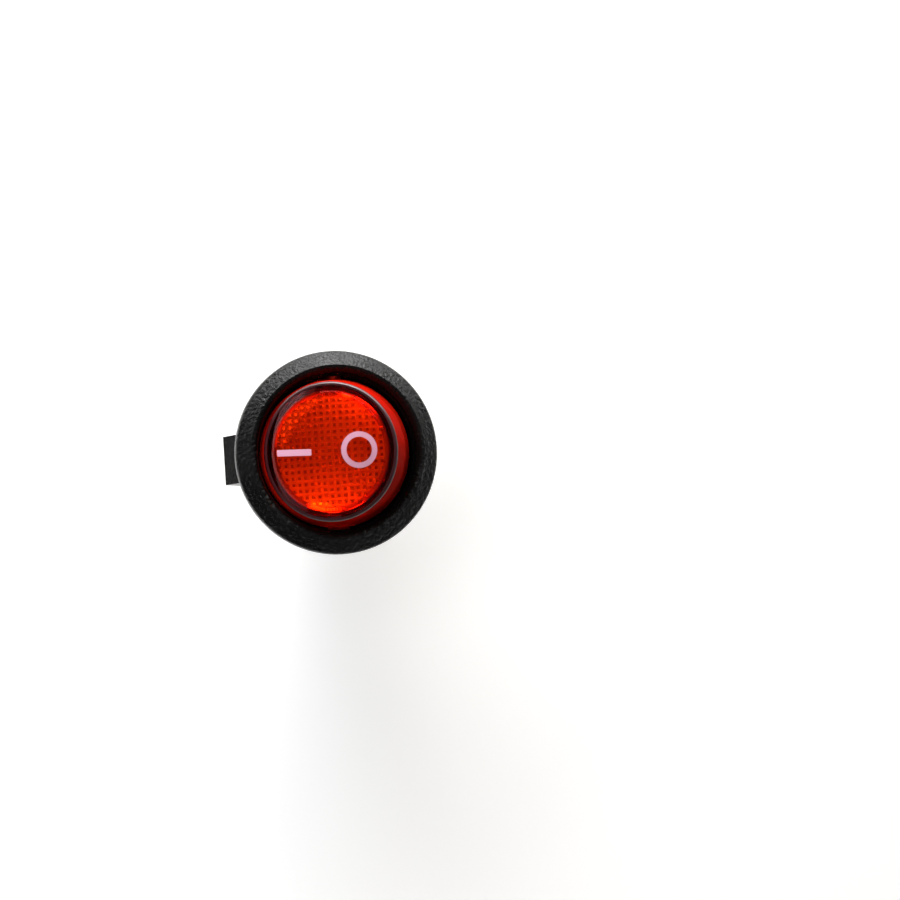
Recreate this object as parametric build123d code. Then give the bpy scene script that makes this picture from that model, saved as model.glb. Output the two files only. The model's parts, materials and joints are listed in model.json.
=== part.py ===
from build123d import *
import math
import os

# Round snap-in rocker switch for a 20 mm panel hole. Sizes are in millimetres.
# The origin is the centre of the flange's back plane, which sits on the panel.
# +Z comes out of the face. The I side is at -X, the O side at +X, and the rocker turns about Y.
# It is drawn with the I side pressed, so its contact is closed.

# Bezel
flange_diameter = 23.0
flange_height = 2.4
flange_rim_height = 1.35
flange_back_round = 0.35
flange_rim_round = 0.45
opening_diameter = 18.0
opening_round = 0.85

# Barrel, with the round well that the rocker turns in
barrel_diameter = 20.0
barrel_depth = 4.65
barrel_end_chamfer = 0.3
well_diameter = 17.5
well_step_height = 0.8
well_floor_thickness = 1.1

# Contact chamber behind the barrel
body_width = 14.2
body_height = 12.4
body_depth = 15.0
body_corner_round = 0.9
body_end_round = 0.4
body_draft = 0.6
chamber_width = 9.2
chamber_height = 9.0
chamber_floor_thickness = 1.8
boss_width = 10.6
boss_height = 6.9
boss_depth = 1.9
boss_corner_round = 0.6

# Snap-in tongues, one on each side of the body
tongue_width = 5.5
tongue_reach = 12.0
tongue_crest_depth = 5.5
tongue_crest_length = 0.5
tongue_tip_depth = 0.7
tongue_tip_reach = 10.5
tongue_tip_thickness = 1.1
tongue_thickness = 1.5
tongue_slit = 0.6
tongue_root_rise = 1.3
tongue_wall = 0.9
tongue_teeth = 5
tooth_depth = 0.22
tooth_slant = 0.35
slot_wall = 0.45

# Rocker, measured from its turning axis: a red frame that carries the clear lens
rocker_axis_height = -0.6
rocker_tilt = 13.5
rocker_lip_height = 2.6
rocker_rim_height = 4.25
rocker_lip_size = (16.5, 16.25)
rocker_rim_size = (14.9, 15.55)
rocker_waist_size = (16.9, 16.9)
rocker_lip_round = 0.3
rocker_wall = 1.2
rocker_skirt_depth = 2.0
rocker_skirt_slope = 11.0
trunnion_diameter = 2.5
trunnion_reach = 9.5
trunnion_clearance = 0.05
socket_end_gap = 0.1
rib_thickness = 1.0
tube_outer_diameter = 4.4
tube_inner_diameter = 2.9
tube_depth = 6.4
tube_roof_height = 1.2

# Lens, a dome with a sloping ring round it and a plug below that enters the rocker
lens_crown = 6.9
lens_dome_radius = 15.6
lens_land_height = 0.2
lens_face_height = 5.3
lens_face_size = (13.1, 13.6)
lens_thickness = 0.9
lens_plug_wall = 0.45
lens_plug_depth = 0.75
lens_fit = 0.03
lens_edge_round = 0.2
lens_notch_width = 1.6
lens_notch_depth = 0.6

# Diffuser, a domed plate under the lens with rows of small prisms on it
diffuser_size = (12.85, 13.35)
diffuser_thickness = 0.4
prism_pitch = 0.7
prism_base = 0.6
prism_top = 0.3
prism_height = 0.16

# Plunger and its spring
plunger_clearance = 0.08
plunger_nose_radius = 1.1
plunger_top_depth = 3.2
plunger_top_chamfer = 0.2
plunger_neck_length = 0.6
plunger_contact_gap = 0.25
spring_wire = 0.3
spring_coils = 6
spring_clearance = 0.2
spring_end_gap = 0.02

# Moving contact, a strip bent to a shallow V that rocks on the cradle
strip_thickness = 0.5
strip_width = 4.4
strip_arm = 4.35
strip_rise = 11.0
strip_tilt = 8.0
strip_gap = 0.05
cradle_rise = 2.05
cradle_edge_chamfer = 0.25
ear_height = 1.25
ear_width = 0.85
notch_clearance = 0.15
rivet_place = 3.5
rivet_head_diameter = 1.8
rivet_shank_diameter = 1.0
rivet_head_height = 0.55
rivet_tail_height = 0.2
contact_gap = 0.08

# Terminals, 4.8 mm blades with a solder slot
blade_width = 4.8
blade_thickness = 0.8
blade_spacing = 6.2
blade_length = 7.6
blade_tip_chamfer = 1.0
blade_tip_chamfer_length = 1.6
blade_edge_bevel = 0.22
blade_edge_bevel_length = 0.7
blade_slot_width = 1.8
blade_slot_length = 3.7
blade_slot_from_tip = 3.0
shoulder_width = 5.6
shoulder_depth = 1.3
blade_fit = 0.03
bend_radius = 0.3
load_tab_gap = 0.15
load_tab_back = 1.6

# Values worked out from the ones above
flange_radius = flange_diameter / 2
barrel_radius = barrel_diameter / 2
well_radius = well_diameter / 2
opening_radius = opening_diameter / 2
well_floor = -barrel_depth + well_floor_thickness
chamber_floor = -body_depth + chamber_floor_thickness
body_side = body_width / 2
wall_side = chamber_width / 2 + tongue_wall
boss_end = -body_depth - boss_depth
tongue_root = -body_depth + tongue_root_rise
tongue_slot_width = tongue_width + 2 * tongue_slit
blade_place = blade_spacing / 2
blade_end = boss_end - blade_length
blade_slot_height = blade_end + blade_slot_from_tip
tab_bottom = chamber_floor + bend_radius + blade_fit
tab_top = tab_bottom + blade_thickness
tab_middle = tab_bottom + blade_thickness / 2
cradle_height = chamber_floor + cradle_rise
strip_pivot = cradle_height + strip_gap
rivet_shank_radius = rivet_shank_diameter / 2
overlap = 0.5 * barrel_end_chamfer
dome_centre = lens_crown - lens_dome_radius
lens_inside_radius = lens_dome_radius - lens_thickness
diffuser_top_radius = lens_inside_radius - prism_height - lens_fit
diffuser_bottom_radius = diffuser_top_radius - diffuser_thickness
plug_low = rocker_rim_height - lens_plug_depth
lens_inside_size = [side + 2 * lens_fit for side in diffuser_size]


def rect_prism(width, height, low, high, corner=0.0):
    """A block on the switch's axis between two levels."""
    outline = RectangleRounded(width, height, corner) if corner else Rectangle(width, height)
    return extrude(Plane.XY.offset(low) * outline, high - low)


def side_profile(points, width):
    """A shape drawn in the X-Z plane, as thick as width and centred on it."""
    face = make_face(Plane.XZ * Polyline(*points, close=True))
    return extrude(face, width / 2, both=True)


def round_bar(diameter, start, end, direction):
    """A round bar between two distances along a direction through the origin."""
    plane = Plane(origin=Vector(*direction) * start, z_dir=direction)
    return extrude(plane * Circle(diameter / 2), end - start)


def bezel_and_barrel():
    """The cup that the flange, the barrel and its floor make."""
    crest = opening_radius + opening_round
    outline = Polyline(
        (0, -barrel_depth),
        (barrel_radius - barrel_end_chamfer, -barrel_depth),
        (barrel_radius, -barrel_depth + barrel_end_chamfer),
        (barrel_radius, 0),
        (flange_radius, 0),
        (flange_radius, flange_rim_height),
        (crest, flange_height),
        (opening_radius, flange_height),
        (opening_radius, well_step_height + opening_radius - well_radius),
        (well_radius, well_step_height),
        (well_radius, well_floor),
        (0, well_floor),
        close=True,
    )
    face = make_face(outline)
    rounds = (
        ((flange_radius, 0), flange_back_round),
        ((flange_radius, flange_rim_height), flange_rim_round),
        ((opening_radius, flange_height), opening_round * 0.98),
    )
    for place, radius in rounds:
        corner = face.vertices().sort_by_distance(Vector(*place, 0))[0]
        face = fillet(corner, radius)
    return revolve(Plane.XZ * face, Axis.Z)


def chamber_block():
    """The drafted block that holds the contacts, with the boss round the terminals."""
    start = Plane(origin=(0, 0, -barrel_depth + overlap), x_dir=(1, 0, 0), z_dir=(0, 0, -1))
    section = RectangleRounded(body_width, body_height, body_corner_round)
    block = extrude(start * section, body_depth - barrel_depth + overlap, taper=body_draft)
    block = fillet(block.edges().group_by(Axis.Z)[0], body_end_round)
    boss = rect_prism(boss_width, boss_height, boss_end, chamber_floor - overlap, boss_corner_round)
    return block + boss


def tongue():
    """The tongue on the +X side: a ramp to the crest, then a toothed face back to the flange."""
    side = wall_side + tongue_thickness
    foot = Vector(tongue_reach, tongue_crest_length - tongue_crest_depth)
    tip = Vector(tongue_tip_reach, -tongue_tip_depth)
    run = tip - foot
    inward = Vector(-run.Y, run.X) / run.length * tooth_depth
    hidden_end = (tongue_root - body_depth) / 2
    points = [(side - tongue_thickness, hidden_end), (side, hidden_end)]
    points += [(side, tongue_root), (tongue_reach, -tongue_crest_depth), (foot.X, foot.Y)]
    for tooth in range(tongue_teeth):
        valley = foot + run * ((tooth + tooth_slant) / tongue_teeth) - inward
        peak = foot + run * ((tooth + 1) / tongue_teeth)
        points += [(valley.X, valley.Y), (peak.X, peak.Y)]
    inner_knee = tongue_reach - tongue_thickness - tooth_depth
    points.append((tongue_tip_reach - tongue_tip_thickness, -tongue_tip_depth))
    points.append((inner_knee, tongue_crest_length - tongue_crest_depth))
    points.append((side - tongue_thickness, tongue_root))
    return side_profile(points, tongue_width)


def side_opening(inner, width, low, high):
    """A block on the +X side, from a distance off the axis to beyond the body."""
    length = flange_radius - inner
    return Pos(inner + length / 2, 0, (low + high) / 2) * Box(length, width, high - low)


def housing():
    """Bezel, barrel, chamber, boss and tongues, all one moulding."""
    shell = bezel_and_barrel() + chamber_block()
    shell -= rect_prism(chamber_width, chamber_height, chamber_floor, 0)
    slot_side = well_radius + slot_wall
    blade_slot = (blade_thickness + 2 * blade_fit, blade_width + 2 * blade_fit)
    for side in (0, 180):
        turn = Rot(0, 0, side)
        shell -= turn * side_opening(wall_side, tongue_slot_width, tongue_root, overlap - barrel_depth)
        shell -= turn * side_opening(slot_side, tongue_slot_width, -barrel_depth - overlap, 0)
        shell += turn * tongue()
        shell -= turn * Pos(blade_place, 0, 0) * rect_prism(*blade_slot, 2 * boss_end, tab_top)
    height = Pos(0, 0, rocker_axis_height)
    socket_diameter = trunnion_diameter + 2 * trunnion_clearance
    for direction in ((0, 1, 0), (0, -1, 0)):
        socket = round_bar(socket_diameter, body_side, trunnion_reach + socket_end_gap, direction)
        shell -= height * socket
    return shell


def oval(size, height, inset=0.0):
    """An upright oval at a level of the rocker."""
    return Pos(0, 0, height) * Ellipse(size[0] / 2 - inset, size[1] / 2 - inset)


def oval_block(size, low, high, inset=0.0):
    """An oval block between two levels of the rocker."""
    return extrude(oval(size, low, inset), high - low)


def dome_ball(radius):
    """A ball about the centre of the lens's dome."""
    return Pos(0, 0, dome_centre) * Sphere(radius)


def skirt_levels(inset, low):
    """The rocker's skirt and shoulder, or its inside, from a flat bottom up to the rim."""
    levels = [
        oval(rocker_waist_size, low, inset),
        oval(rocker_waist_size, 0, inset),
        oval(rocker_lip_size, rocker_lip_height, inset),
        oval(rocker_rim_size, rocker_rim_height, inset),
    ]
    return loft(levels, ruled=True)


def skirt_trim():
    """What is cut from under the skirt, so that its pressed side clears the floor of the well."""
    rise = flange_radius * math.tan(math.radians(rocker_skirt_slope))
    points = [
        (0, -rocker_skirt_depth),
        (flange_radius, rise - rocker_skirt_depth),
        (flange_radius, -tube_depth),
        (-flange_radius, -tube_depth),
        (-flange_radius, rise - rocker_skirt_depth),
    ]
    return side_profile(points, flange_diameter)


def rocker_in_line():
    """The rocker upright over its turning axis: skirt, tube, rib and trunnions."""
    low = -1.5 * rocker_skirt_depth
    outside = skirt_levels(0, low)
    lip_levels = (rocker_lip_height - overlap, rocker_lip_height + overlap)
    lip = outside.edges().filter_by_position(Axis.Z, *lip_levels)
    outside = fillet([edge for edge in lip if edge.length > rocker_lip_height], rocker_lip_round)
    hollow = skirt_levels(rocker_wall, 2 * low) & oval_block(rocker_waist_size, 2 * low, plug_low)
    pocket_inset = -lens_plug_wall - lens_fit
    pocket = oval_block(lens_inside_size, plug_low - lens_fit, lens_crown, pocket_inset)
    under_diffuser = dome_ball(diffuser_bottom_radius - lens_fit)
    rib = Box(rib_thickness, rocker_waist_size[1], 2 * lens_crown)
    low_rib = rib & skirt_levels(rocker_wall / 2, low) & oval_block(rocker_waist_size, low, plug_low)
    high_rib = rib & oval_block(lens_inside_size, 0, lens_crown, rocker_wall / 2) & under_diffuser
    body = outside - hollow - pocket + low_rib + high_rib - skirt_trim()
    body += round_bar(tube_outer_diameter, -tube_depth, lens_crown, (0, 0, 1)) & (
        under_diffuser + round_bar(tube_outer_diameter, -tube_depth, 0, (0, 0, 1))
    )
    for direction in ((0, 1, 0), (0, -1, 0)):
        start = (rocker_waist_size[1] - rocker_wall) / 2
        body += round_bar(trunnion_diameter, start, trunnion_reach, direction)
    return body - round_bar(tube_inner_diameter, -2 * tube_depth, tube_roof_height, (0, 0, 1))


def lens_in_line():
    """The clear lens: a dome, the ring that slopes away from it, and the plug's wall."""
    land_top = rocker_rim_height + lens_land_height
    slope_height = lens_face_height - land_top
    narrowing = [(rim - face) / slope_height for rim, face in zip(rocker_rim_size, lens_face_size)]
    rise = lens_crown - land_top
    peak = [rim - rate * rise for rim, rate in zip(rocker_rim_size, narrowing)]
    ring = loft([oval(rocker_rim_size, land_top), oval(peak, lens_crown)], ruled=True)
    body = oval_block(rocker_rim_size, rocker_rim_height, land_top)
    body += ring & dome_ball(lens_dome_radius)
    long_edges = [edge for edge in body.edges() if edge.length > lens_crown]
    edges = [edge for edge in long_edges if edge.center().Z > land_top - overlap]
    body = fillet(edges, lens_edge_round)
    body += oval_block(lens_inside_size, plug_low, rocker_rim_height, -lens_plug_wall)
    body -= oval_block(lens_inside_size, 0, lens_crown) & dome_ball(lens_inside_radius)
    notch = Box(lens_notch_width, 2 * lens_notch_depth, 2 * lens_thickness)
    return body - Pos(0, -rocker_rim_size[1] / 2, rocker_rim_height + lens_thickness) * notch


def prism():
    """One small prism, a pyramid with its point cut off, with its foot below the origin."""
    foot = -prism_height / 2
    base = Pos(0, 0, foot) * Rectangle(prism_base, prism_base)
    top = Pos(0, 0, prism_height) * Rectangle(prism_top, prism_top)
    return loft([base, top], ruled=True)


def prism_places():
    """The middles of the prisms, on a square grid inside the diffuser's rim."""
    half_x = diffuser_size[0] / 2 - prism_base / 2
    half_y = diffuser_size[1] / 2 - prism_base / 2
    count_x = int(half_x / prism_pitch)
    count_y = int(half_y / prism_pitch)
    columns = [i * prism_pitch for i in range(-count_x, count_x + 1)]
    rows = [j * prism_pitch for j in range(-count_y, count_y + 1)]
    grid = [(x, y) for x in columns for y in rows]
    return [(x, y) for x, y in grid if (x / half_x) ** 2 + (y / half_y) ** 2 < 1]


def diffuser_in_line():
    """The domed plate with its prisms, each square to the dome."""
    plate = oval_block(diffuser_size, 0, lens_crown)
    plate = (plate & dome_ball(diffuser_top_radius)) - dome_ball(diffuser_bottom_radius)
    one = prism()
    prisms = []
    for x, y in prism_places():
        height = math.sqrt(diffuser_top_radius ** 2 - x * x - y * y)
        outwards = Vector(x, y, height)
        place = Plane(origin=Vector(0, 0, dome_centre) + outwards, x_dir=(height, 0, -x), z_dir=outwards)
        prisms.append(place.location * one)
    return plate + prisms


def to_rest():
    """Where the rocker's own axes lie when its I side is pressed."""
    return Pos(0, 0, rocker_axis_height) * Rot(0, -rocker_tilt, 0)


def nose_distance():
    """From the turning axis to the centre of the plunger's nose."""
    tilt = math.radians(rocker_tilt)
    arm_slope = math.radians(strip_rise - strip_tilt)
    slope_term = math.cos(tilt) + math.sin(tilt) * math.tan(arm_slope)
    stand_off = (strip_thickness + plunger_nose_radius + plunger_contact_gap) / math.cos(arm_slope)
    return (rocker_axis_height - strip_pivot - stand_off) / slope_term


def plunger_in_line():
    """The plunger below the turning axis, with its round nose down."""
    radius = tube_inner_diameter / 2 - plunger_clearance
    reach = nose_distance()
    outline = [
        (0, -reach),
        (plunger_nose_radius, -reach),
        (radius, -reach + plunger_neck_length),
        (radius, -plunger_top_depth - plunger_top_chamfer),
        (radius - plunger_top_chamfer, -plunger_top_depth),
        (0, -plunger_top_depth),
    ]
    stem = revolve(Plane.XZ * make_face(Polyline(*outline, close=True)), Axis.Z)
    return stem + Pos(0, 0, -reach) * Sphere(plunger_nose_radius)


def spring_in_line():
    """The spring between the plunger and the roof of the rocker's tube."""
    low = -plunger_top_depth + spring_wire / 2 + spring_end_gap
    high = tube_roof_height - spring_wire / 2 - spring_end_gap
    radius = tube_inner_diameter / 2 - spring_clearance - spring_wire / 2
    path = Pos(0, 0, low) * Helix((high - low) / spring_coils, high - low, radius)
    start = Plane(origin=path @ 0, z_dir=path % 0)
    return sweep(start * RegularPolygon(spring_wire / 2, 8), path)


def arm_strip(side):
    """One arm of the moving contact, rising from the pivot at the origin."""
    rise = math.radians(strip_rise)
    tip = (side * strip_arm * math.cos(rise), strip_arm * math.sin(rise))
    up = (-side * strip_thickness * math.sin(rise), strip_thickness * math.cos(rise))
    top = (0, strip_thickness / math.cos(rise))
    points = [(0, 0), tip, (tip[0] + up[0], tip[1] + up[1]), top]
    return side_profile(points, strip_width)


def to_contact_rest():
    """Where the moving contact's own axes lie when the contact is closed."""
    return Pos(0, 0, strip_pivot) * Rot(0, strip_tilt, 0)


def on_right_arm():
    """A place on the underside of the arm with the rivet, with Z square to it."""
    return Rot(0, -strip_rise, 0) * Pos(rivet_place, 0, 0)


def moving_contact():
    """The bent strip, notched for the cradle's ears and holed for its rivet."""
    strip = arm_strip(1) + arm_strip(-1)
    notch_inside = strip_width / 2 - ear_width - notch_clearance
    notch_half = blade_thickness / 2 + 2 * notch_clearance
    for side in (1, -1):
        place = Pos(0, side * (notch_inside + ear_width), 0)
        strip -= place * Box(2 * notch_half, 2 * ear_width, 4 * strip_thickness)
    strip -= on_right_arm() * Cylinder(rivet_shank_radius, 4 * strip_thickness)
    return to_contact_rest() * strip


def moving_contact_rivet():
    """The button under the arm, with its shank and its upset tail."""
    head = Pos(0, 0, -rivet_head_height / 2) * Cylinder(rivet_head_diameter / 2, rivet_head_height)
    head = fillet(head.edges().group_by(Axis.Z)[0], rivet_head_height * 0.4)
    shank = Pos(0, 0, strip_thickness / 2) * Cylinder(rivet_shank_radius, strip_thickness)
    tail_height = strip_thickness + rivet_tail_height / 2
    tail = Pos(0, 0, tail_height) * Cylinder(rivet_shank_diameter * 0.75, rivet_tail_height)
    return to_contact_rest() * on_right_arm() * (head + shank + tail)


def fixed_rivet_top():
    """The level of the fixed button, just under the closed moving one."""
    slope = math.radians(strip_rise - strip_tilt)
    under_arm = strip_pivot + rivet_place * math.sin(slope)
    return under_arm - rivet_head_height * math.cos(slope) - contact_gap


def blade_in_line(top):
    """A terminal's blade up to a level, with its shoulders, slot and bevelled tip, on the Z axis."""
    half = blade_width / 2
    shoulder = shoulder_width / 2
    shoulder_end = boss_end - shoulder_depth
    outline = [
        (half, top),
        (half, boss_end - blade_fit),
        (shoulder, boss_end - blade_fit),
        (shoulder, shoulder_end),
        (half, shoulder_end - (shoulder - half)),
        (half, blade_end + blade_tip_chamfer_length),
        (half - blade_tip_chamfer, blade_end),
    ]
    points = outline + [(-y, z) for y, z in reversed(outline)]
    face = make_face(Plane.YZ * Polyline(*points, close=True))
    blade = extrude(face, blade_thickness / 2, both=True)
    thick = blade_thickness / 2
    bevel_start = blade_end + blade_edge_bevel_length
    blade &= side_profile(
        [
            (-thick, top),
            (thick, top),
            (thick, bevel_start),
            (thick - blade_edge_bevel, blade_end),
            (blade_edge_bevel - thick, blade_end),
            (-thick, bevel_start),
        ],
        shoulder_width,
    )
    slot = SlotOverall(blade_slot_length, blade_slot_width, rotation=90)
    return blade - extrude(Plane.YZ * Pos(0, blade_slot_height) * slot, blade_thickness, both=True)


def tab_along(line):
    """A strip of the terminal's metal that follows a line in the X-Z plane."""
    start = Plane(origin=line @ 0, x_dir=(0, 1, 0), z_dir=line % 0)
    return sweep(start * Rectangle(blade_width, blade_thickness), line)


def common_terminal():
    """The blade on the I side, bent over to the middle and up into the cradle."""
    path = [
        (-blade_place, 0, chamber_floor - chamber_floor_thickness / 2),
        (-blade_place, 0, tab_middle),
        (0, 0, tab_middle),
        (0, 0, cradle_height + ear_height),
    ]
    tab = tab_along(FilletPolyline(*path, radius=bend_radius + blade_thickness / 2))
    between_ears = strip_width - 2 * ear_width
    gap = Box(2 * blade_thickness, between_ears, 2 * ear_height)
    tab -= Pos(0, 0, cradle_height + ear_height) * gap
    edges = tab.edges().filter_by(Axis.Y)
    knife = edges.filter_by_position(Axis.Z, cradle_height - overlap, cradle_height + overlap)
    tab = chamfer(knife, cradle_edge_chamfer)
    return tab + Pos(-blade_place, 0, 0) * blade_in_line(chamber_floor)


def load_terminal():
    """The blade on the O side, with a level tab under the fixed button."""
    tab_end = chamber_width / 2 - load_tab_gap
    tab = tab_along(Line((blade_place - load_tab_back, 0, tab_middle), (tab_end, 0, tab_middle)))
    hole = Cylinder(rivet_shank_radius, 2 * blade_thickness)
    tab -= Pos(fixed_rivet_place(), 0, tab_middle) * hole
    return tab + Pos(blade_place, 0, 0) * blade_in_line(tab_middle)


def fixed_rivet_place():
    """The fixed button lies straight under the closed moving one."""
    slope = math.radians(strip_rise - strip_tilt)
    return rivet_place * math.cos(slope) + rivet_head_height * math.sin(slope)


def fixed_contact_rivet():
    """The fixed button and its shank, seated on the load terminal's tab."""
    height = fixed_rivet_top() - tab_top
    head = Pos(0, 0, tab_top + height / 2) * Cylinder(rivet_head_diameter / 2, height)
    head = fillet(head.edges().group_by(Axis.Z)[-1], height * 0.3)
    shank_length = blade_thickness * 0.5
    shank = Pos(0, 0, tab_top - shank_length / 2) * Cylinder(rivet_shank_radius, shank_length)
    return Pos(fixed_rivet_place(), 0, 0) * (head + shank)


def rocker():
    """The rocker, turned to its rest with the I side pressed."""
    return to_rest() * rocker_in_line()


def lens():
    """The lens, turned with the rocker."""
    return to_rest() * lens_in_line()


def diffuser():
    """The diffuser, turned with the rocker."""
    return to_rest() * diffuser_in_line()


def plunger():
    """The plunger, turned with the rocker."""
    return to_rest() * plunger_in_line()


def plunger_spring():
    """The spring, turned with the rocker."""
    return to_rest() * spring_in_line()


pieces = {
    "housing": housing,
    "rocker": rocker,
    "lens": lens,
    "diffuser": diffuser,
    "plunger": plunger,
    "plunger_spring": plunger_spring,
    "moving_contact": moving_contact,
    "moving_contact_rivet": moving_contact_rivet,
    "common_terminal": common_terminal,
    "load_terminal": load_terminal,
    "fixed_contact_rivet": fixed_contact_rivet,
}

os.makedirs("parts", exist_ok=True)
for name, make in pieces.items():
    shape = make()
    print(name, "solids", len(shape.solids()), "volume", round(shape.volume, 3))
    export_step(shape, os.path.join("parts", name + ".step"))
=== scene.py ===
import bmesh
import bpy
import json
import math
from mathutils import Matrix, Vector


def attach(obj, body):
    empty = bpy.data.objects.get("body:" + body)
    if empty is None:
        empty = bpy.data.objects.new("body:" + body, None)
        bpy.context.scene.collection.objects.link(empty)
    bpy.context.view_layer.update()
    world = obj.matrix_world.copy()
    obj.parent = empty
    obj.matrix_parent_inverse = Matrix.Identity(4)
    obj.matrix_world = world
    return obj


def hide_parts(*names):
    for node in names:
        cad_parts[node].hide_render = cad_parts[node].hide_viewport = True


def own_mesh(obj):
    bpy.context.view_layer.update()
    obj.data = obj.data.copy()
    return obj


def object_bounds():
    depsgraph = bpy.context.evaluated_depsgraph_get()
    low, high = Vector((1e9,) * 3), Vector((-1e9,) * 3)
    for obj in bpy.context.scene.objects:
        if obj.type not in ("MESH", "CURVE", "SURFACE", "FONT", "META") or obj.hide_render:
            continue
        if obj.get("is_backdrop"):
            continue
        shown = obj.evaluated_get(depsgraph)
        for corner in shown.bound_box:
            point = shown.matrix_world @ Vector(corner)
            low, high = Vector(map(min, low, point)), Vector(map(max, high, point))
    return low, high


# Round snap-in rocker switch, looks only.
# Lengths are metres, and the tables hold millimetres and degrees.
mm = 0.001
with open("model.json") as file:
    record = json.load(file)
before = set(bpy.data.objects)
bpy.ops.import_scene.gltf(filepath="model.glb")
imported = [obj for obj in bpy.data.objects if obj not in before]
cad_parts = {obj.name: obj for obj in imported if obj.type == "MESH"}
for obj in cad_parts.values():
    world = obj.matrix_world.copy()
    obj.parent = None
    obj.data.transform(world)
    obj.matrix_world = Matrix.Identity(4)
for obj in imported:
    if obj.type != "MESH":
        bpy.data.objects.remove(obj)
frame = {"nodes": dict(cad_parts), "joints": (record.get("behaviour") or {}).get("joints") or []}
nodes = frame["nodes"]
lowest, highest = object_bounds()
print("frame loaded:", len(nodes), "nodes")


# small helpers
def toLinear(hexColor):
    # sRGB hex to the linear colour that the shaders take
    parts = [int(hexColor[i:i + 2], 16) / 255 for i in (1, 3, 5)]
    linear = [p / 12.92 if p <= 0.04045 else ((p + 0.055) / 1.055) ** 2.4 for p in parts]
    return (*linear, 1.0)


def addNode(tree, kind, inputs=None, **settings):
    # a node with its settings; an input is a value or the socket it is linked from
    node = tree.nodes.new(kind)
    for name, value in settings.items():
        setattr(node, name, value)
    for name, value in (inputs or {}).items():
        if isinstance(value, bpy.types.NodeSocket):
            tree.links.new(value, node.inputs[name])
        else:
            node.inputs[name].default_value = value
    return node


def newMaterial(name, shaderInputs):
    material = bpy.data.materials.new(name)
    material.use_nodes = True
    tree = material.node_tree
    tree.nodes.clear()
    shader = addNode(tree, "ShaderNodeBsdfPrincipled", shaderInputs)
    addNode(tree, "ShaderNodeOutputMaterial", {"Surface": shader.outputs[0]})
    return material, tree, shader


def objectPlace(tree):
    return addNode(tree, "ShaderNodeTexCoord").outputs["Object"]


def addVector(tree, operation, a, b=(0.0, 0.0, 0.0)):
    node = addNode(tree, "ShaderNodeVectorMath", {0: a, 1: b}, operation=operation)
    return node.outputs["Value" if operation in ("LENGTH", "DISTANCE") else "Vector"]


def addMath(tree, operation, a, b=0.0):
    return addNode(tree, "ShaderNodeMath", {0: a, 1: b}, operation=operation).outputs[0]


def addRange(tree, value, start, end, low=0.0, high=1.0):
    # low up to start, high from end, and even between them
    return addNode(tree, "ShaderNodeMapRange", {
        "Value": value, "From Min": start, "From Max": end, "To Min": low, "To Max": high,
    }).outputs[0]


def paint(piece, material):
    piece.data.materials.clear()
    piece.data.materials.append(material)


def meshPiece(name, vertices, faces):
    mesh = bpy.data.meshes.new(name)
    mesh.from_pydata([Vector(v) * mm for v in vertices], [], faces)
    mesh.update()
    piece = bpy.data.objects.new(name, mesh)
    bpy.context.scene.collection.objects.link(piece)
    return piece


# the rocker's own axes: its turning axis is the origin and its dome faces +Z
pivot = next(j for j in frame["joints"] if j["name"] == "rocker_pivot")
restTilt = -math.radians(pivot["range_deg"][1]) / 2
toRow = Matrix.Translation(Vector(pivot["pos_m"])) @ Matrix.Rotation(restTilt, 4, "Y")

dome = {
    "radius": 15.6,
    "crown": 6.9,
    "face": (13.1, 13.6),
}


def domeHeight(x, y):
    # height of the dome above the turning axis
    return math.sqrt(dome["radius"] ** 2 - x * x - y * y) + dome["crown"] - dome["radius"]


def rockerPlace(tree):
    # the pattern's place in the rocker's own axes
    back = toRow.inverted()
    return addNode(tree, "ShaderNodeMapping", {
        "Vector": objectPlace(tree), "Location": back.translation, "Rotation": back.to_euler(),
    }).outputs[0]


def rideRocker(piece):
    piece.data.transform(toRow)
    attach(piece, "rocker")


# black nylon housing
nylon = {
    "color": "#080808",
    "roughness": 0.28,
    "specular": 0.60,
    "bodySpecular": 0.18,
    "wellRadius": (9.3, 9.7),
    "grainSize": 0.42,
    "grainDetail": 3.0,
    "grainRoughness": 0.6,
    "grainDepth": 0.14,
    "broadTimes": 9,
    "broadDetail": 2.0,
    "broadMiddle": (0.3, 0.7),
    "roughSwing": (-0.06, 0.08),
    "wrinkleSize": 0.55,
    "wrinkleShare": 0.5,
    "bezelFrom": (-0.1, 0.3),
    "bodyGrain": 0.3,
    "grainStrength": 1.0,
}


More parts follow.
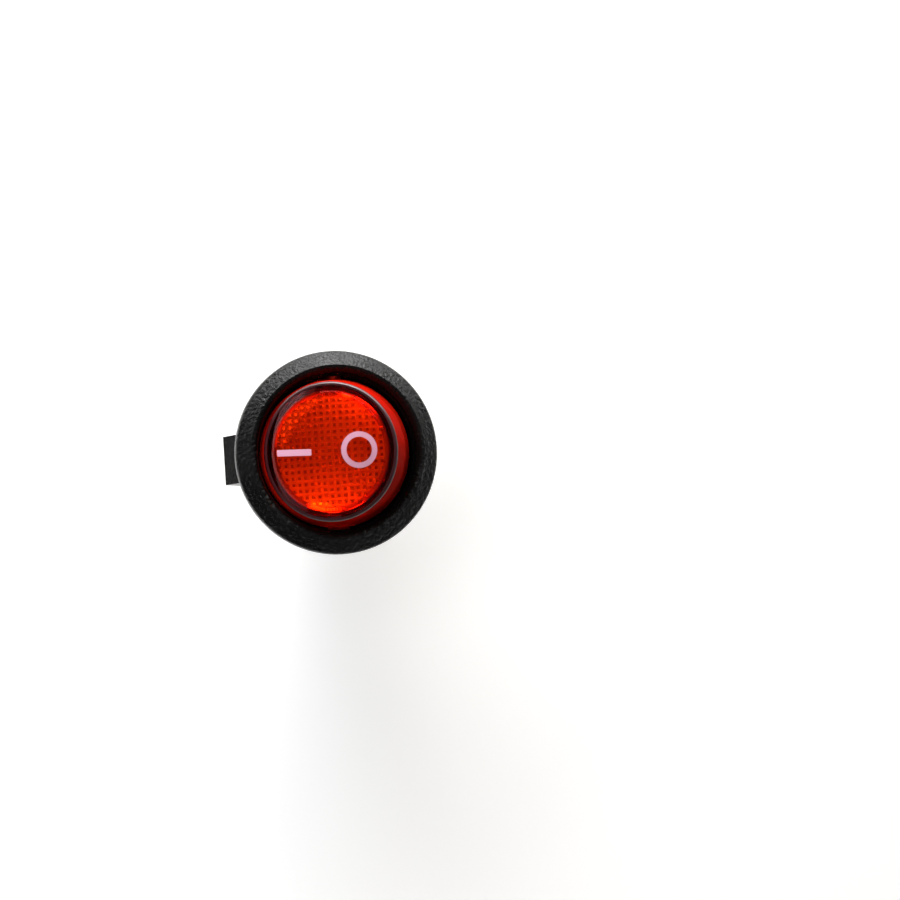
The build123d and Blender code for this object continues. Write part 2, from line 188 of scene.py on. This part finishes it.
def makeNylon():
    # injection moulded black nylon with a spark-eroded grain
    material, tree, shader = newMaterial("black_nylon_spark_grain", {
        "Base Color": toLinear(nylon["color"]),
    })
    place = objectPlace(tree)
    fine = addNode(tree, "ShaderNodeTexNoise", {
        "Vector": place, "Scale": 1 / (nylon["grainSize"] * mm),
        "Detail": nylon["grainDetail"], "Roughness": nylon["grainRoughness"],
    })
    wrinkle = addNode(tree, "ShaderNodeTexVoronoi", {
        "Vector": place, "Scale": 1 / (nylon["wrinkleSize"] * mm),
    }, feature="DISTANCE_TO_EDGE")
    broad = addNode(tree, "ShaderNodeTexNoise", {
        "Vector": place, "Scale": 1 / (nylon["broadTimes"] * nylon["grainSize"] * mm),
        "Detail": nylon["broadDetail"],
    })
    roughLow, roughHigh = (nylon["roughness"] + swing for swing in nylon["roughSwing"])
    rough = addRange(tree, broad.outputs[0], *nylon["broadMiddle"], roughLow, roughHigh)
    # the mould's grain is deep on the bezel and shallow on the body behind the panel
    height = addNode(tree, "ShaderNodeSeparateXYZ", {0: place}).outputs["Z"]
    faceLow, faceHigh = (z * mm for z in nylon["bezelFrom"])
    strength = addRange(tree, height, faceLow, faceHigh, nylon["bodyGrain"], nylon["grainStrength"])
    # only the bezel's face takes a sheen; the well and the body are duller
    radius = addVector(tree, "LENGTH", addVector(tree, "MULTIPLY", place, (1.0, 1.0, 0.0)))
    wellIn, wellOut = (r * mm for r in nylon["wellRadius"])
    sheen = (nylon["bodySpecular"], nylon["specular"])
    above = addRange(tree, height, faceLow, faceHigh, *sheen)
    outside = addRange(tree, radius, wellIn, wellOut, *sheen)
    tree.links.new(addMath(tree, "MINIMUM", above, outside), shader.inputs["Specular IOR Level"])
    wrinkled = addMath(tree, "MULTIPLY", wrinkle.outputs["Distance"], nylon["wrinkleShare"])
    bump = addNode(tree, "ShaderNodeBump", {
        "Strength": strength, "Distance": nylon["grainDepth"] * mm,
        "Height": addMath(tree, "ADD", fine.outputs[0], wrinkled),
    })
    tree.links.new(rough, shader.inputs["Roughness"])
    tree.links.new(bump.outputs[0], shader.inputs["Normal"])
    return material


paint(nodes["housing"], makeNylon())
print("housing painted")

# red rocker and its clear lens
redPlastic = {
    "frameColor": "#e61c08",
    "frameClear": 0.12,
    "clearAbove": (3.95, 4.15),
    "clearBeyond": (8.14, 8.2),
    "frameRough": 0.45,
    "frameSpecular": 0.06,
    "frameGloss": "#ff3018",
    "frameIor": 1.25,
    "lensColor": "#ee6c10",
    # the lens wall's darker red: partly its depth, partly painted shade
    "wallDepthAndShadeColor": "#8a0c08",
    "wallDepthAndShadeFrom": (0.985, 1.015),
    "lensRough": 0.02,
    "lensGloss": "#ff7884",
    "ior": 1.40,
}


def makeRockerRed():
    # red polycarbonate: the shoulder is moulded satin and glows, the pins and the rim are clear
    material, tree, shader = newMaterial("hazy_red_polycarbonate", {
        "Base Color": toLinear(redPlastic["frameColor"]),
        "Roughness": redPlastic["frameRough"],
        "IOR": redPlastic["frameIor"],
        "Specular IOR Level": redPlastic["frameSpecular"],
        "Specular Tint": toLinear(redPlastic["frameGloss"]),
    })
    place = addNode(tree, "ShaderNodeSeparateXYZ", {0: rockerPlace(tree)}).outputs
    rimLow, rimHigh = (z * mm for z in redPlastic["clearAbove"])
    pinIn, pinOut = (y * mm for y in redPlastic["clearBeyond"])
    rim = addRange(tree, place["Z"], rimLow, rimHigh, redPlastic["frameClear"], 1.0)
    aside = addMath(tree, "ABSOLUTE", place["Y"])
    pins = addRange(tree, aside, pinIn, pinOut, redPlastic["frameClear"], 1.0)
    tree.links.new(addMath(tree, "MAXIMUM", rim, pins), shader.inputs["Transmission Weight"])
    return material


def makeLensRed():
    # transparent red polycarbonate from a polished mould; its wall looks far deeper than its thin face,
    # and its darker red there is also painted shade for the dark ring round the face
    material, tree, shader = newMaterial("clear_red_polycarbonate", {
        "Roughness": redPlastic["lensRough"],
        "IOR": redPlastic["ior"],
        "Specular Tint": toLinear(redPlastic["lensGloss"]),
        "Transmission Weight": 1.0,
    })
    inFaces = [2 / (side * mm) for side in dome["face"]]
    reach = addVector(tree, "LENGTH", addVector(tree, "MULTIPLY", rockerPlace(tree), (*inFaces, 0.0)))
    # inputs 6 and 7 and output 2 are the Mix node's colour sockets
    # orange on the face, and a darker red on the wall that is partly painted shade
    color = addNode(tree, "ShaderNodeMix", {
        "Factor": addRange(tree, reach, *redPlastic["wallDepthAndShadeFrom"]),
        6: toLinear(redPlastic["lensColor"]),
        7: toLinear(redPlastic["wallDepthAndShadeColor"]),
    }, data_type="RGBA")
    tree.links.new(color.outputs[2], shader.inputs["Base Color"])
    return material


paint(nodes["rocker"], makeRockerRed())
paint(nodes["lens"], makeLensRed())
print("rocker and lens painted")

# diffuser: satin plate, bright prisms
diffuser = {
    "topRadius": 14.655,
    "color": "#d8c4a8",
    "flankRough": 0.6,
    "topRough": 0.14,
    "topMetal": 0.62,
    "size": (12.85, 13.35),
    "rimFrom": 0.93,
}


def makeDiffuser():
    # moulded plate: satin flanks glow, and the polished rim and prism tops throw light back like mirrors
    material, tree, shader = newMaterial("moulded_prism_plate", {
        "Base Color": toLinear(diffuser["color"]),
    })
    place = rockerPlace(tree)
    centre = Vector((0, 0, dome["crown"] - dome["radius"])) * mm
    fromCentre = addVector(tree, "DISTANCE", place, centre)
    top = addMath(tree, "GREATER_THAN", fromCentre, diffuser["topRadius"] * mm)
    inPlate = [2 / (side * mm) for side in diffuser["size"]]
    reach = addVector(tree, "LENGTH", addVector(tree, "MULTIPLY", place, (*inPlate, 0.0)))
    rim = addMath(tree, "GREATER_THAN", reach, diffuser["rimFrom"])
    bright = addMath(tree, "MAXIMUM", top, rim)
    looks = {
        "Metallic": (0.0, diffuser["topMetal"]),
        "Roughness": (diffuser["flankRough"], diffuser["topRough"]),
    }
    for name, (flank, polished) in looks.items():
        tree.links.new(addRange(tree, bright, 0.0, 1.0, flank, polished), shader.inputs[name])
    return material


paint(nodes["diffuser"], makeDiffuser())
print("diffuser painted")

# rounded edge of the lens, which catches the light all round
lensEdge = {
    "width": 14.45,
    "height": 15.10,
    "rise": 4.45,
    "radius": 0.32,
    "segments": 144,
    "sides": 16,
    # near-black red, partly depth and partly painted shade
    "color": "#38000a",
    "roughness": 0.3,
    "gloss": 1.0,
    "ior": 1.70,
}


def makeEdgeShadedRed():
    # polished polycarbonate seen along its wall, so deep a red that it looks dark; the near-black red is
    # also painted shade for the dark ring
    return newMaterial("deep_red_polycarbonate_edge_with_painted_shade", {
        "Base Color": toLinear(lensEdge["color"]),
        "Roughness": lensEdge["roughness"],
        "Specular IOR Level": lensEdge["gloss"],
        "IOR": lensEdge["ior"],
    })[0]


def buildEdgeTree(material):
    # an oval path with a round section swept along it
    tree = bpy.data.node_groups.new("lensEdgeTree", "GeometryNodeTree")
    for name in ("Width", "Height", "Rise", "Radius"):
        tree.interface.new_socket(name, in_out="INPUT", socket_type="NodeSocketFloat")
    tree.interface.new_socket("Geometry", in_out="OUTPUT", socket_type="NodeSocketGeometry")
    given = addNode(tree, "NodeGroupInput").outputs
    circle = addNode(tree, "GeometryNodeCurvePrimitiveCircle", {
        "Resolution": lensEdge["segments"], "Radius": 0.5,
    })
    stretch = addNode(tree, "ShaderNodeCombineXYZ", {
        "X": given["Width"], "Y": given["Height"], "Z": 1.0,
    })
    lift = addNode(tree, "ShaderNodeCombineXYZ", {"Z": given["Rise"]})
    path = addNode(tree, "GeometryNodeTransform", {
        "Geometry": circle.outputs["Curve"], "Scale": stretch.outputs[0], "Translation": lift.outputs[0],
    })
    section = addNode(tree, "GeometryNodeCurvePrimitiveCircle", {
        "Resolution": lensEdge["sides"], "Radius": given["Radius"],
    })
    swept = addNode(tree, "GeometryNodeCurveToMesh", {
        "Curve": path.outputs[0], "Profile Curve": section.outputs["Curve"],
    })
    smooth = addNode(tree, "GeometryNodeSetShadeSmooth", {"Geometry": swept.outputs[0]})
    real = addNode(tree, "GeometryNodeRealizeInstances", {"Geometry": smooth.outputs[0]})
    done = addNode(tree, "GeometryNodeSetMaterial", {"Geometry": real.outputs[0], "Material": material})
    addNode(tree, "NodeGroupOutput", {"Geometry": done.outputs[0]})
    return tree


def growPiece(name, tree, values):
    # the tree's result as a plain mesh, with its modifier gone
    piece = meshPiece(name, [], [])
    grow = piece.modifiers.new(name, "NODES")
    grow.node_group = tree
    for item in tree.interface.items_tree:
        if item.in_out == "INPUT":
            grow[item.identifier] = values[item.name]
    grown = piece.evaluated_get(bpy.context.evaluated_depsgraph_get())
    mesh = bpy.data.meshes.new_from_object(grown)
    piece.modifiers.clear()
    piece.data = mesh
    return piece


edgeShadedRed = makeEdgeShadedRed()
edge = growPiece("lens_edge", buildEdgeTree(edgeShadedRed), {
    "Width": lensEdge["width"] * mm,
    "Height": lensEdge["height"] * mm,
    "Rise": lensEdge["rise"] * mm,
    "Radius": lensEdge["radius"] * mm,
})
paint(edge, edgeShadedRed)
rideRocker(edge)
print("lens edge rounded:", len(edge.data.polygons), "faces")

# printed I and O
marks = {
    "barCentre": (-3.93, 0.02),
    "barSize": (3.95, 0.72),
    "barSlope": -0.047,
    "barRound": 0.12,
    "ringCentre": (3.36, -0.10),
    "ringOuter": 1.98,
    "ringInner": 1.39,
    "ringStretch": 1.035,
    "ringSegments": 96,
    "barSteps": 40,
    "rows": 3,
    "sunk": 0.02,
    "proud": 0.02,
    "color": "#d8a0b8",
    "roughness": 0.4,
}


def makeInk():
    # pad-printed white ink, which looks pink on the red
    return newMaterial("white_pad_print_ink", {
        "Base Color": toLinear(marks["color"]),
        "Roughness": marks["roughness"],
    })[0]


def printOnDome(name, outlines, closed):
    # a thin print between outlines with equal numbers of points, laid on the dome
    count = len(outlines[0])
    vertices, faces = [], []
    for offset in (marks["proud"], -marks["sunk"]):
        for outline in outlines:
            vertices += [(x, y, domeHeight(x, y) + offset) for x, y in outline]
    layer = len(outlines) * count

    def quad(a, b, c, d):
        faces.append((a, b, c, d))

    steps = range(count if closed else count - 1)
    for row in range(len(outlines) - 1):
        for step in steps:
            after = (step + 1) % count
            a, b = row * count + step, row * count + after
            c, d = b + count, a + count
            quad(a, d, c, b)
            quad(a + layer, b + layer, c + layer, d + layer)
    for row, flip in ((0, False), (len(outlines) - 1, True)):
        for step in steps:
            after = (step + 1) % count
            a, b = row * count + step, row * count + after
            if flip:
                quad(b, a, a + layer, b + layer)
            else:
                quad(a, b, b + layer, a + layer)
    if not closed:
        for step, flip in ((0, True), (count - 1, False)):
            for row in range(len(outlines) - 1):
                a, b = row * count + step, (row + 1) * count + step
                if flip:
                    quad(b, a, a + layer, b + layer)
                else:
                    quad(a, b, b + layer, a + layer)
    return meshPiece(name, vertices, faces)


def ringOutline(part):
    # one line round the ring, from its inner edge (part 0) to its outer edge (part 1)
    x, y = marks["ringCentre"]
    segments = marks["ringSegments"]
    radius = marks["ringInner"] + (marks["ringOuter"] - marks["ringInner"]) * part
    turns = [2 * math.pi * step / segments for step in range(segments)]
    tall = radius * marks["ringStretch"]
    return [(x + radius * math.cos(t), y + tall * math.sin(t)) for t in turns]


def barOutline(part):
    # one line along the bar, from its lower edge (part 0) to its upper edge (part 1)
    x, y = marks["barCentre"]
    length, width = marks["barSize"]
    corner = marks["barRound"]
    steps = marks["barSteps"]
    points = []
    for step in range(steps + 1):
        along = length / 2 * math.sin(math.pi * (step / steps - 0.5))
        past = max(0.0, abs(along) - (length / 2 - corner))
        half = width / 2 - corner + math.sqrt(max(0.0, corner ** 2 - past ** 2))
        middle = y + marks["barSlope"] * along
        points.append((x + along, middle + half * (2 * part - 1)))
    return points


ink = makeInk()
parts = [row / marks["rows"] for row in range(marks["rows"] + 1)]
markO = printOnDome("mark_O", [ringOutline(part) for part in parts], True)
markI = printOnDome("mark_I", [barOutline(1 - part) for part in parts], False)
for mark in (markI, markO):
    paint(mark, ink)
    rideRocker(mark)
print("marks printed")

# metal and inner pieces
metals = {
    # colour, roughness, and how far the roughness swings
    "tinned_brass": ("#c9c8c4", 0.34, 0.1),
    "contact_silver": ("#dedcd4", 0.25, 0.05),
    "contact_strip_bronze": ("#c58a58", 0.3, 0.06),
    "spring_steel_wire": ("#b9b9b7", 0.25, 0.04),
}
mottle = {
    "size": 1.6,
    "detail": 4.0,
    "middle": (0.3, 0.7),
}
acetal = {
    "color": "#ecebe6",
    "roughness": 0.3,
}


def makeMetal(name):
    # stamped, plated or drawn metal: handling and plating leave its sheen cloudy
    color, roughness, swing = metals[name]
    material, tree, shader = newMaterial(name, {"Base Color": toLinear(color), "Metallic": 1.0})
    cloud = addNode(tree, "ShaderNodeTexNoise", {
        "Vector": objectPlace(tree), "Scale": 1 / (mottle["size"] * mm), "Detail": mottle["detail"],
    })
    rough = addRange(tree, cloud.outputs[0], *mottle["middle"], roughness - swing, roughness + swing)
    tree.links.new(rough, shader.inputs["Roughness"])
    return material


def makeAcetal():
    # natural white acetal, as moulded
    return newMaterial("white_acetal", {
        "Base Color": toLinear(acetal["color"]),
        "Roughness": acetal["roughness"],
    })[0]


tin = makeMetal("tinned_brass")
silver = makeMetal("contact_silver")
bronze = makeMetal("contact_strip_bronze")
steel = makeMetal("spring_steel_wire")
paint(nodes["common_terminal"], tin)
paint(nodes["load_terminal"], tin)
paint(nodes["moving_contact_rivet"], silver)
paint(nodes["fixed_contact_rivet"], silver)
paint(nodes["moving_contact"], bronze)
paint(nodes["plunger_spring"], steel)
paint(nodes["plunger"], makeAcetal())
print("inner pieces painted")

# spring, as a welded copy that rides with the rocker
weldReach = 0.0005


def makeSpring():
    # a welded, smooth-shaded copy of the spring, carried with the rocker
    mesh = nodes["plunger_spring"].data.copy()
    welded = bmesh.new()
    welded.from_mesh(mesh)
    bmesh.ops.remove_doubles(welded, verts=welded.verts, dist=weldReach * mm)
    welded.to_mesh(mesh)
    welded.free()
    mesh.shade_smooth()
    spring = bpy.data.objects.new("spring_coil", mesh)
    bpy.context.scene.collection.objects.link(spring)
    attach(spring, "rocker")
    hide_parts("plunger_spring")
    paint(spring, steel)
    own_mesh(spring)
    print("spring coil:", len(mesh.polygons), "faces")


makeSpring()

# floor, lamps, world
studio = {
    "floorColor": "#f4f4f4",
    "floorRough": 0.9,
    "floorSpecular": 0.1,
    "floorGlow": 0.42,
    "floorGap": 0.05,
    "floorSize": 3000.0,
    "worldStrength": 0.06,
}
lamps = {
    # brightness where 1 is white; transmission rays light what lies under the lens,
    # glossy rays make the sheen, and diffuse rays light dull surfaces and the floor
    "window": {
        "azimuth": 130, "elevation": 27, "distance": 350, "size": (500, 110), "bright": 5.0,
        "color": "#ffffff", "lights": ("transmission",),
    },
    "windowFill": {
        "azimuth": 130, "elevation": 28, "distance": 350, "size": (480, 80), "bright": 8.0,
        "color": "#ffffff", "lights": ("diffuse",),
    },
    "upperBox": {
        "azimuth": 64, "elevation": 43, "distance": 350, "size": (350, 120), "bright": 1.2,
        "color": "#fff0d8", "lights": ("transmission",),
    },
    "overhead": {
        "azimuth": 170, "elevation": 60, "distance": 350, "size": (200, 200), "bright": 3.0,
        "color": "#ffffff", "lights": ("diffuse",),
    },
    "lowFill": {
        "azimuth": -98, "elevation": 34, "distance": 15, "size": (14, 2.0), "bright": 125.0,
        "color": "#fff0d8", "lights": ("transmission",),
    },
    "topGlow": {
        "azimuth": 68, "elevation": 36, "distance": 14.5, "size": (9, 2.6), "bright": 80.0,
        "color": "#fff0d8", "lights": ("transmission",),
    },
    "skyPanel": {
        "azimuth": 180, "elevation": 71, "distance": 300, "size": (420, 420), "bright": 0.45,
        "color": "#fff0d8", "lights": ("transmission",),
    },
    "rightFill": {
        "azimuth": 82, "elevation": 28, "distance": 350, "size": (150, 110), "bright": 6.5,
        "color": "#fff0d8", "lights": ("diffuse",),
    },
    "rightStrip": {
        "azimuth": 55, "elevation": 28, "distance": 350, "size": (150, 110), "bright": 6.0,
        "color": "#ffffff", "lights": ("glossy",),
    },
    "topStrip": {
        "azimuth": 88, "elevation": 25, "distance": 350, "size": (220, 130), "bright": 10.0,
        "color": "#ffffff", "lights": ("glossy",),
    },
    "topFill": {
        "azimuth": 103, "elevation": 22, "distance": 350, "size": (220, 140), "bright": 9.0,
        "color": "#ffffff", "lights": ("diffuse",),
    },
    "leftStrip": {
        "azimuth": 128, "elevation": 15, "distance": 350, "size": (160, 80), "bright": 2.5,
        "color": "#ffffff", "lights": ("glossy",),
    },
}


def makeFloor():
    # pale paper sweep under the switch
    half = studio["floorSize"] / 2
    z = lowest.z / mm - studio["floorGap"]
    corners = [(-half, -half, z), (half, -half, z), (half, half, z), (-half, half, z)]
    floor = meshPiece("floor", corners, [(0, 1, 2, 3)])
    material, tree, shader = newMaterial("white_paper", {
        "Base Color": toLinear(studio["floorColor"]),
        "Roughness": studio["floorRough"],
        "Specular IOR Level": studio["floorSpecular"],
    })
    # the paper shows a little brighter to the camera than its lighting makes it
    seen = addNode(tree, "ShaderNodeLightPath").outputs
    indirect = addMath(tree, "MAXIMUM", seen["Is Glossy Ray"], seen["Is Transmission Ray"])
    shown = addMath(tree, "MAXIMUM", seen["Is Camera Ray"], indirect)
    shader.inputs["Emission Color"].default_value = (1, 1, 1, 1)
    glow = addMath(tree, "MULTIPLY", shown, studio["floorGlow"])
    tree.links.new(glow, shader.inputs["Emission Strength"])
    floor.data.materials.append(material)
    floor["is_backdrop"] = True


def direction(azimuth, elevation):
    # from +X towards +Y, and up from the panel
    turn, rise = math.radians(azimuth), math.radians(elevation)
    flat = math.cos(rise)
    return Vector((math.cos(turn) * flat, math.sin(turn) * flat, math.sin(rise)))


def addLamp(name, values):
    away = direction(values["azimuth"], values["elevation"])
    width, height = (side * mm for side in values["size"])
    light = bpy.data.lights.new(name, "AREA")
    light.shape = "RECTANGLE"
    light.size, light.size_y = width, height
    light.energy = values["bright"] * math.pi * width * height
    light.color = toLinear(values["color"])[:3]
    lamp = bpy.data.objects.new(name, light)
    lamp.location = away * values["distance"] * mm
    lamp.rotation_euler = (-away).to_track_quat("-Z", "Y").to_euler()
    lamp.visible_camera = False
    for ray in ("diffuse", "glossy", "transmission"):
        setattr(lamp, "visible_" + ray, ray in values["lights"])
    bpy.context.scene.collection.objects.link(lamp)


def makeWorld():
    # a dim, even room
    world = bpy.data.worlds.new("studioRoom")
    world.use_nodes = True
    tree = world.node_tree
    tree.nodes.clear()
    light = addNode(tree, "ShaderNodeBackground", {
        "Color": (1, 1, 1, 1), "Strength": studio["worldStrength"],
    })
    addNode(tree, "ShaderNodeOutputWorld", {"Surface": light.outputs[0]})
    bpy.context.scene.world = world


makeFloor()
for name, values in lamps.items():
    addLamp(name, values)
makeWorld()
print("studio ready")

# camera, at the photograph's angle
shot = {
    "fromLeft": 8.5,
    "fromBelow": 3.0,
    "roll": 3.5,
    "distance": 360.0,
    "target": (0.0, 0.0, 1.0),
    "focalPixels": 3193.0,
    "pixels": 900.0,
    "targetPixel": (336.4, 452.5),
    "clip": (10.0, 10000.0),
}


def makeCamera():
    left, below, roll = (math.radians(shot[k]) for k in ("fromLeft", "fromBelow", "roll"))
    flat = math.cos(below)
    back = Vector((-math.sin(left) * flat, -math.sin(below), math.cos(left) * flat))
    right = Vector((math.sin(roll), math.cos(roll), 0)).cross(back).normalized()
    up = back.cross(right)
    data = bpy.data.cameras.new("photoCamera")
    data.lens = shot["focalPixels"] / shot["pixels"] * data.sensor_width
    data.shift_x = 0.5 - shot["targetPixel"][0] / shot["pixels"]
    data.shift_y = shot["targetPixel"][1] / shot["pixels"] - 0.5
    data.clip_start, data.clip_end = (reach * mm for reach in shot["clip"])
    camera = bpy.data.objects.new("photoCamera", data)
    place = (Vector(shot["target"]) + back * shot["distance"]) * mm
    axes = Matrix((right, up, back)).transposed().to_4x4()
    camera.matrix_world = Matrix.Translation(place) @ axes
    bpy.context.scene.collection.objects.link(camera)
    bpy.context.scene.camera = camera


makeCamera()
bpy.context.scene.view_settings.view_transform = "Standard"

lowest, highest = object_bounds()
